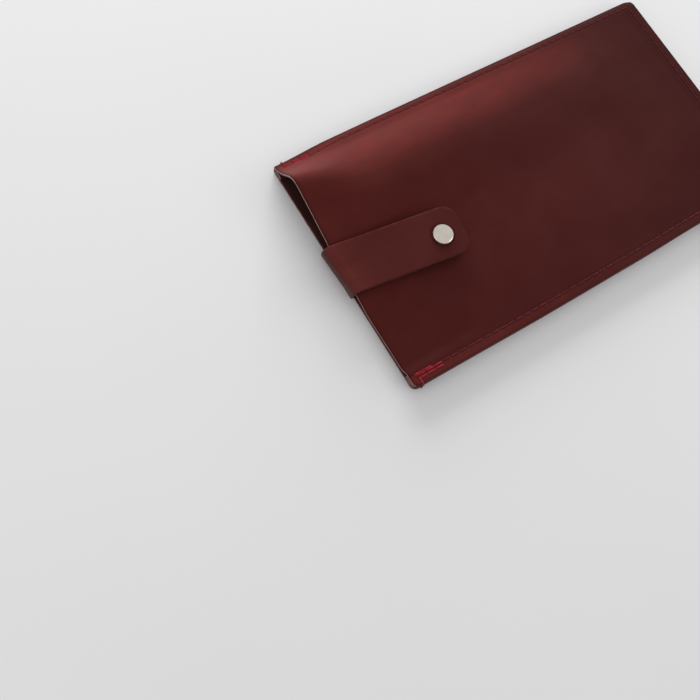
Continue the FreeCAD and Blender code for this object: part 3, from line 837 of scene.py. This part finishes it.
def back_place(u, v):
    """u is the place along the guard, and before the mouth the run of the strap outwards."""
    if u >= MOUTH_X:
        x, y = outline(u, v)
        joint = ROOT_LOW - SLACK < v < ROOT_HIGH + SLACK
        inset = min(TOE_X - u, HALF_W - abs(v)) if joint else panel_inset(u, v)
        half = PANEL_T / 2 - edge_drop(inset)
        dip = stitch_dip(x, y)
        place = worked(x, y)
        outer = Vector((*place, PANEL_T / 2 - half + BACK_DIP * dip))
        inner = Vector((*place, PANEL_T / 2 + half))
        return outer, inner, (x, y), BACK_TONE + BACK_DIP_SHADE_TONE * dip
    run = LOW_MOUTH_U + (MOUTH_X - u)
    across = (v - (ROOT_LOW + ROOT_HIGH) / 2) * math.cos(SLANT)
    y = strap_y(run, across)
    start = min((MOUTH_X - u) / ROOT_EDGE_RUN, 1)
    half = PANEL_T / 2 - edge_drop(strap_inset(across)) * start
    outer, inner = askew(strap_point(run, y, half)), askew(strap_point(run, y, -half))
    return outer, inner, (run, y), ROOT_TONE


def back_keep(u, v):
    return u > MOUTH_X or ROOT_LOW < v < ROOT_HIGH


back_columns = merged([MOUTH_X - r for r in spaced(0, MID_WALL_U - LOW_MOUTH_U, ROOT_STEP)],
                      along_columns)
back_rows = merged(ROOT_ROWS, [r for r in across_rows
                               if not ROOT_LOW - ROOT_CLEAR < r < ROOT_HIGH + ROOT_CLEAR])
# The grid is mirrored, so that its outer face looks down.
back_panel = sheet("back_panel_leather", back_columns, mirrored(back_rows),
                   lambda u, v: back_place(u, -v), [GRAIN, FLESH, DYED_EDGE, SOILED_EDGE],
                   lambda u, v: back_keep(u, -v))
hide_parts("back_panel", "strap_bend")


# ---- welts ----
WELT_SHARPER = 0.1                      # inset at which the welts' rounding is cut short
WELT_STEP, TOE_WELT_STEP, LONG_STEP = 0.5, 1, 2
FINE_RUN = 4                            # behind the mouth, where the welts show


def welt_place(u, v):
    x, y = outline(u, v)
    drop = edge_drop(min(TOE_X - u, HALF_W - abs(v)) + WELT_SHARPER)
    place = worked(x, y)
    outer = Vector((*place, FRONT_Z - drop - margin_drop(x, y)))
    return outer, Vector((*place, PANEL_T + drop)), (x, y), 0


welt_rows = merged(spaced(HALF_W - WELT_W, HALF_W - EDGE_R, WELT_STEP), rim(HALF_W, -1))
welt_columns = merged(spaced(MOUTH_X, MOUTH_X + FINE_RUN, FINE),
                      spaced(MOUTH_X + FINE_RUN, TOE_X - CORNER_R, LONG_STEP),
                      spaced(TOE_X - CORNER_R, TOE_X - EDGE_R, FINE), rim(TOE_X, -1))
toe_rows = spaced(WELT_W - HALF_W, HALF_W - WELT_W, LONG_STEP)
toe_columns = merged(spaced(TOE_X - WELT_W, TOE_X - EDGE_R, TOE_WELT_STEP), rim(TOE_X, -1))
WELTS = {
    "spine_welt": (welt_columns, welt_rows),
    "edge_welt": (welt_columns, mirrored(welt_rows)),
    "toe_welt": (toe_columns, toe_rows),
}
for node, (columns, rows) in WELTS.items():
    welt = sheet(node + "_leather", columns, rows, welt_place,
                 [GRAIN, FLESH, DYED_EDGE, SOILED_EDGE])
    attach(welt, "root")
    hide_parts(node)


# ---- thread ----
PLY_R = 0.56 * THREAD_R                 # two plies make one thread
PLY_OFF = THREAD_R - PLY_R
TWIST = 2.6                             # length of one turn of the plies
TWIST_OFFSET = 0.37                     # turns, from one stitch to the next
SIDES = 8

STITCH_STEPS = 14
DIVE_SHARE = 0.16                       # of a stitch, at each end, that goes down its hole
PLUNGE = 0.8
STITCH_CROWN = 0.08
WRAP_OUT = 0.35                         # from the stack's edge to the middle of the wrap


def twine(name, paths, thread_material, body, node):
    """Two-ply thread along each path of points, as one mesh."""
    points, faces = [], []
    for order, path in enumerate(paths):
        for ply in (0, 1):
            first = len(points)
            run = 0
            for k, middle in enumerate(path):
                ahead = path[min(k + 1, len(path) - 1)] - path[max(k - 1, 0)]
                if k:
                    run += (middle - path[k - 1]).length
                side = ahead.cross(Vector((0, 0, 1)))
                side = side.normalized() if side.length > 1e-6 else Vector((1, 0, 0))
                up = side.cross(ahead).normalized()
                turn = 2 * math.pi * (run / TWIST + ply / 2 + TWIST_OFFSET * order)
                centre = middle + (side * math.cos(turn) + up * math.sin(turn)) * PLY_OFF
                for a in range(SIDES):
                    angle = 2 * math.pi * a / SIDES
                    spoke = side * math.cos(angle) + up * math.sin(angle)
                    points.append((centre + spoke * PLY_R) * MM)
            for k in range(len(path) - 1):
                for a in range(SIDES):
                    b = (a + 1) % SIDES
                    low, high = first + k * SIDES, first + (k + 1) * SIDES
                    faces.append((low + a, low + b, high + b, high + a))
            faces.append([first + a for a in reversed(range(SIDES))])
            faces.append([len(points) - SIDES + a for a in range(SIDES)])
    piece = solid(name, points, faces, thread_material, smooth_angle=75)
    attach(piece, body)
    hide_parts(node)


def stitch(start, end, level, outward):
    """One stitch between two holes: it lies on the face and dives at both ends."""
    path = []
    for k in range(STITCH_STEPS + 1):
        t = 0.5 - 0.5 * math.cos(math.pi * k / STITCH_STEPS)
        dive = max(1 - min(t, 1 - t) / DIVE_SHARE, 0) ** 2
        point = start.lerp(end, t)
        base = level + point.z if outward > 0 else level
        crown = STITCH_CROWN * math.sin(math.pi * t)
        path.append(Vector((point.x, point.y, base + outward * (crown - PLUNGE * dive))))
    return path


def run_of_stitches(holes, level, outward):
    return [stitch(a, b, level, outward) for a, b in zip(holes, holes[1:])]


def hole_line(start, end, count):
    """Evenly spaced holes of the sewn guard; -z is how far the margin is pressed down there."""
    line = [start.lerp(end, k / count) for k in range(count + 1)]
    return [Vector((*worked(p.x, p.y), -margin_drop(p.x, p.y))) for p in line]


def side_holes(sign, start_x, inset, count):
    """Line of holes along one side, further in than the seam by inset."""
    y = sign * (SEAM_Y - inset)
    return hole_line(Vector((start_x, y, 0)), Vector((start_x + count * SIDE_PITCH, y, 0)), count)


def wrapped(sign):
    """Thread round the edge of the whole stack, from hole to hole."""
    inside = SEAM_Y + TACK_OFFSET
    hem = HALF_W + WRAP_OUT
    turn = [
        (inside - 0.6, FRONT_THREAD_Z - 0.5),   # out of the hole
        (inside + 0.2, FRONT_THREAD_Z + 0.1),
        (HALF_W - 1, STACK_Z + 0.1),            # over the front face
        (HALF_W, STACK_Z),
        (hem - 0.05, STACK_Z - 0.5),
        (hem, STACK_Z - 1.2),                   # down the side
        (hem, STACK_Z / 2),
        (hem, 1.2),
        (hem - 0.05, 0.75),
        (HALF_W, 0.48),
        (HALF_W - 1, 0.45),                     # under the back face
        (inside, 0.8),                          # into the hole
    ]
    path = []
    for y, z in turn:
        pressed = margin_drop(TACK_WRAP_X, sign * y) if z > STACK_Z / 2 else 0
        path.append(Vector((*worked(TACK_WRAP_X, sign * y), z - pressed)))
    return path


INNER_START, INNER_INSET = 0.8, 0.62    # third line of a tack: nearer the mouth and further in
INNER_STITCHES = 2
MIDDLE_LIFT, INNER_LIFT = 0.08, 0.2     # the second and third line lie over the first

for side, sign in {"spine": 1, "edge": -1}.items():
    holes = side_holes(sign, SEAM_START_X, 0, SIDE_STITCHES)
    outer = side_holes(sign, SEAM_START_X, -TACK_OFFSET, TACK_STITCHES)
    inner = side_holes(sign, SEAM_START_X - INNER_START, INNER_INSET, TACK_STITCHES)
    seam = run_of_stitches(holes[TACK_STITCHES:], FRONT_THREAD_Z, 1)
    seam += run_of_stitches(holes, BACK_THREAD_Z, -1)
    twine(f"{side}_seam_stitches", seam, SEAM_THREAD,
          "root", f"{side}_seam_thread")
    tack = run_of_stitches(outer, FRONT_THREAD_Z, 1)
    tack += run_of_stitches(outer, BACK_THREAD_Z, -1)
    tack += run_of_stitches(holes[:TACK_STITCHES + 1], FRONT_THREAD_Z + MIDDLE_LIFT, 1)
    tack += run_of_stitches(inner[:INNER_STITCHES + 1], FRONT_THREAD_Z + INNER_LIFT, 1)
    tack.append(wrapped(sign))
    twine(f"{side}_tack_stitches", tack, TACK_THREAD,
          "root", f"{side}_bar_tack")
toe_holes = hole_line(Vector((SEAM_TOE_X, -SEAM_Y, 0)), Vector((SEAM_TOE_X, SEAM_Y, 0)),
                      TOE_STITCHES)
toe_seam = run_of_stitches(toe_holes, FRONT_THREAD_Z, 1)
toe_seam += run_of_stitches(toe_holes, BACK_THREAD_Z, -1)
twine("toe_seam_stitches", toe_seam, SEAM_THREAD, "root", "toe_seam_thread")


# ---- snap button ----
stud_low, stud_high = millimetres("snap_stud")
post_low, post_high = millimetres("snap_post")
socket_low, socket_high = millimetres("snap_socket")
spring_low, spring_high = millimetres("snap_spring")
CAP_R = (cap_high.x - cap_low.x) / 2
CAP_SEAT = STRAP_Z + PANEL_T
CAP_RIM_H = 0.75                        # straight side of the cap
SHANK_R, SHANK_BORE_R = 1.3, 0.8
SOCKET_R = (socket_high.x - socket_low.x) / 2
SOCKET_BORE_R = 2.0
SOCKET_EYE_R = 1.35                     # hole that the cap's shank goes through
SOCKET_FLOOR = 0.5
WIRE_GROOVE_R, WIRE_GROOVE_H = 2.55, 0.32
STUD_R = (stud_high.x - stud_low.x) / 2
STUD_BORE_R, STUD_WAIST_R, STUD_HEAD_R = 1.05, 1.5, 1.7
POST_R = (post_high.x - post_low.x) / 2
POST_SHANK_R, POST_BORE_R = 1.0, 0.5
TINY = 0.02                             # radius that stands for a closed middle
CAP_SOFTENING, SMALL_SOFTENING = 0.12, 0.08
LATHE_SIDES = 72

wire_z = (spring_low.z + spring_high.z) / 2
CAP_PROFILE = [
    (SHANK_BORE_R, cap_low.z), (SHANK_R, cap_low.z), (SHANK_R, CAP_SEAT),   # shank
    (CAP_R, CAP_SEAT), (CAP_R, CAP_SEAT + CAP_RIM_H),                       # side
    (CAP_R - 0.22, CAP_SEAT + 1.18), (CAP_R - 0.7, cap_high.z - 0.04),      # crown
    (2.2, cap_high.z), (TINY, cap_high.z), (TINY, CAP_SEAT), (SHANK_BORE_R, CAP_SEAT),
]
SOCKET_PROFILE = [
    (SOCKET_BORE_R, socket_low.z), (SOCKET_R - 0.5, socket_low.z),
    (SOCKET_R, socket_low.z + 0.5), (SOCKET_R, STRAP_Z), (SOCKET_EYE_R, STRAP_Z),
    (SOCKET_EYE_R, STRAP_Z - SOCKET_FLOOR), (SOCKET_BORE_R, STRAP_Z - SOCKET_FLOOR),
    (SOCKET_BORE_R, wire_z + WIRE_GROOVE_H), (WIRE_GROOVE_R, wire_z + WIRE_GROOVE_H),
    (WIRE_GROOVE_R, wire_z - WIRE_GROOVE_H), (SOCKET_BORE_R, wire_z - WIRE_GROOVE_H),
]
STUD_PROFILE = [
    (STUD_BORE_R, stud_low.z), (STUD_R, stud_low.z), (STUD_R, stud_low.z + 0.4),    # foot
    (STUD_WAIST_R, stud_low.z + 0.8), (STUD_WAIST_R, stud_high.z - 0.9),            # waist
    (STUD_HEAD_R, stud_high.z - 0.7), (STUD_HEAD_R, stud_high.z - 0.3),             # head
    (STUD_WAIST_R, stud_high.z), (STUD_BORE_R, stud_high.z),
]
POST_PROFILE = [
    (POST_BORE_R, post_low.z), (POST_R, post_low.z), (POST_R, FRONT_Z),
    (POST_SHANK_R, FRONT_Z), (POST_SHANK_R, post_high.z), (POST_BORE_R, post_high.z),
]


def on_snap_axis(radius, angle, height):
    """Point round the snap button's axis, in metres."""
    x, y = SNAP_X + radius * math.cos(angle), SNAP_Y + radius * math.sin(angle)
    return Vector((x, y, height)) * MM


def lathe(name, profile, softening, body, node):
    """Turned nickel piece from a closed outline of (radius, height), with softened corners."""
    points = [on_snap_axis(radius, 2 * math.pi * k / LATHE_SIDES, height)
              for radius, height in profile for k in range(LATHE_SIDES)]
    faces = []
    for ring in range(len(profile)):
        low, high = ring * LATHE_SIDES, (ring + 1) % len(profile) * LATHE_SIDES
        for k in range(LATHE_SIDES):
            other = (k + 1) % LATHE_SIDES
            faces.append((low + k, low + other, high + other, high + k))
    piece = solid(name, points, faces, NICKEL, smooth_angle=30)
    bevel = piece.modifiers.new("softened", "BEVEL")
    bevel.width = softening * MM
    bevel.segments = 3
    bevel.limit_method = "ANGLE"
    bevel.angle_limit = math.radians(28)
    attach(piece, body)
    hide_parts(node)


lathe("snap_cap_nickel", CAP_PROFILE, CAP_SOFTENING, "strap", "snap_cap")
lathe("snap_socket_nickel", SOCKET_PROFILE, SMALL_SOFTENING, "strap", "snap_socket")
lathe("snap_stud_nickel", STUD_PROFILE, SMALL_SOFTENING, "root", "snap_stud")
lathe("snap_post_nickel", POST_PROFILE, SMALL_SOFTENING, "root", "snap_post")

WIRE_STEPS, WIRE_SIDES = 60, 12
WIRE_GAP = math.radians(70)             # opening of the ring


def spring_ring(name):
    """Open wire ring in the socket."""
    wire = (spring_high.z - spring_low.z) / 2
    points, faces = [], []
    for k in range(WIRE_STEPS + 1):
        angle = (2 * math.pi - WIRE_GAP) * k / WIRE_STEPS
        for a in range(WIRE_SIDES):
            across = 2 * math.pi * a / WIRE_SIDES
            radius = SOCKET_BORE_R + wire + wire * math.cos(across)
            points.append(on_snap_axis(radius, angle, wire_z + wire * math.sin(across)))
    for k in range(WIRE_STEPS):
        low, high = k * WIRE_SIDES, (k + 1) * WIRE_SIDES
        for a in range(WIRE_SIDES):
            b = (a + 1) % WIRE_SIDES
            faces.append((low + a, high + a, high + b, low + b))
    faces.append(list(range(WIRE_SIDES)))
    faces.append([WIRE_STEPS * WIRE_SIDES + a for a in reversed(range(WIRE_SIDES))])
    piece = solid(name, points, faces, SPRING_STEEL, smooth_angle=50)
    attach(piece, "strap")
    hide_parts("snap_spring")


spring_ring("snap_spring_wire")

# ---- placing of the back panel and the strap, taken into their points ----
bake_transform(back_panel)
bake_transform(tongue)


# ---- studio, in metres ----
TABLE_HALF = 4.0
TABLE_Z = -0.1 * MM                     # just under the guard
TABLE_CLOUDS = 6.0                      # of the noise, to the metre
AIR_LIGHT = 0.655
PHOTO_PIXELS = 700
FOCAL_PIXELS = 800                      # fitted to the photo, as are place and tilt
SENSOR_MM = 36
CAMERA_PLACE = (-0.19778, -0.07954, 0.29137)
CAMERA_TILT = (17.18, -9.2, -31.9)      # degrees


def table_top():
    """Matt white table: hardly any shine, a faint cloudiness."""
    mesh = bpy.data.meshes.new("table_top")
    corners = [(-1, -1), (1, -1), (1, 1), (-1, 1)]
    mesh.from_pydata([(TABLE_HALF * x, TABLE_HALF * y, TABLE_Z) for x, y in corners],
                     [], [(0, 1, 2, 3)])
    made, tree, shader = material("matte_white_table", Roughness=0.75, Specular_IOR_Level=0.2)
    place = object_place(tree)
    cloud = add(tree, "TexNoise", {"Vector": place, "Scale": TABLE_CLOUDS, "Detail": 2})
    colour = mixed(tree, cloud, srgb("e0e0e1"), srgb("e4e4e5"))
    tree.links.new(colour, shader.inputs["Base Color"])
    mesh.materials.append(made)
    table = bpy.data.objects.new("table_top", mesh)
    bpy.context.scene.collection.objects.link(table)


def soft_light(name, place, aim, width, height, power):
    light = bpy.data.lights.new(name, "AREA")
    light.shape = "RECTANGLE"
    light.size = width
    light.size_y = height
    light.energy = power
    lamp = bpy.data.objects.new(name, light)
    lamp.location = place
    lamp.rotation_euler = (Vector(aim) - Vector(place)).to_track_quat("-Z", "Y").to_euler()
    bpy.context.scene.collection.objects.link(lamp)
    return lamp


table_top()
window_light = soft_light("window_light", place=(0.32, 0.94, 0.23), aim=(-0.03, 0.02, 0),
                          width=0.85, height=0.42, power=15.5)
window_light.visible_glossy = False     # the photograph shows no mirrored shine of it
soft_light("mouth_side_fill", place=(-0.6, 0.12, 0.2), aim=(-0.09, 0, 0),
           width=0.5, height=0.3, power=0.3)
soft_light("toe_side_fill", place=(0.45, -0.5, 0.35), aim=(0.08, -0.1, 0),
           width=0.5, height=0.3, power=0.6)

world = bpy.data.worlds.new("studio_air")
world.use_nodes = True
world.node_tree.nodes["Background"].inputs["Color"].default_value = (1, 1, 1, 1)
world.node_tree.nodes["Background"].inputs["Strength"].default_value = AIR_LIGHT
bpy.context.scene.world = world

# The camera stands where the photograph was taken from, 0.29 m over the table.
camera_data = bpy.data.cameras.new("photo_camera")
camera_data.sensor_width = SENSOR_MM
camera_data.lens = SENSOR_MM * FOCAL_PIXELS / PHOTO_PIXELS
camera_data.clip_start = 0.01
camera = bpy.data.objects.new("photo_camera", camera_data)
camera.location = CAMERA_PLACE
camera.rotation_euler = Euler([math.radians(a) for a in CAMERA_TILT])
bpy.context.scene.collection.objects.link(camera)
bpy.context.scene.camera = camera
bpy.context.scene.view_settings.view_transform = "Standard"
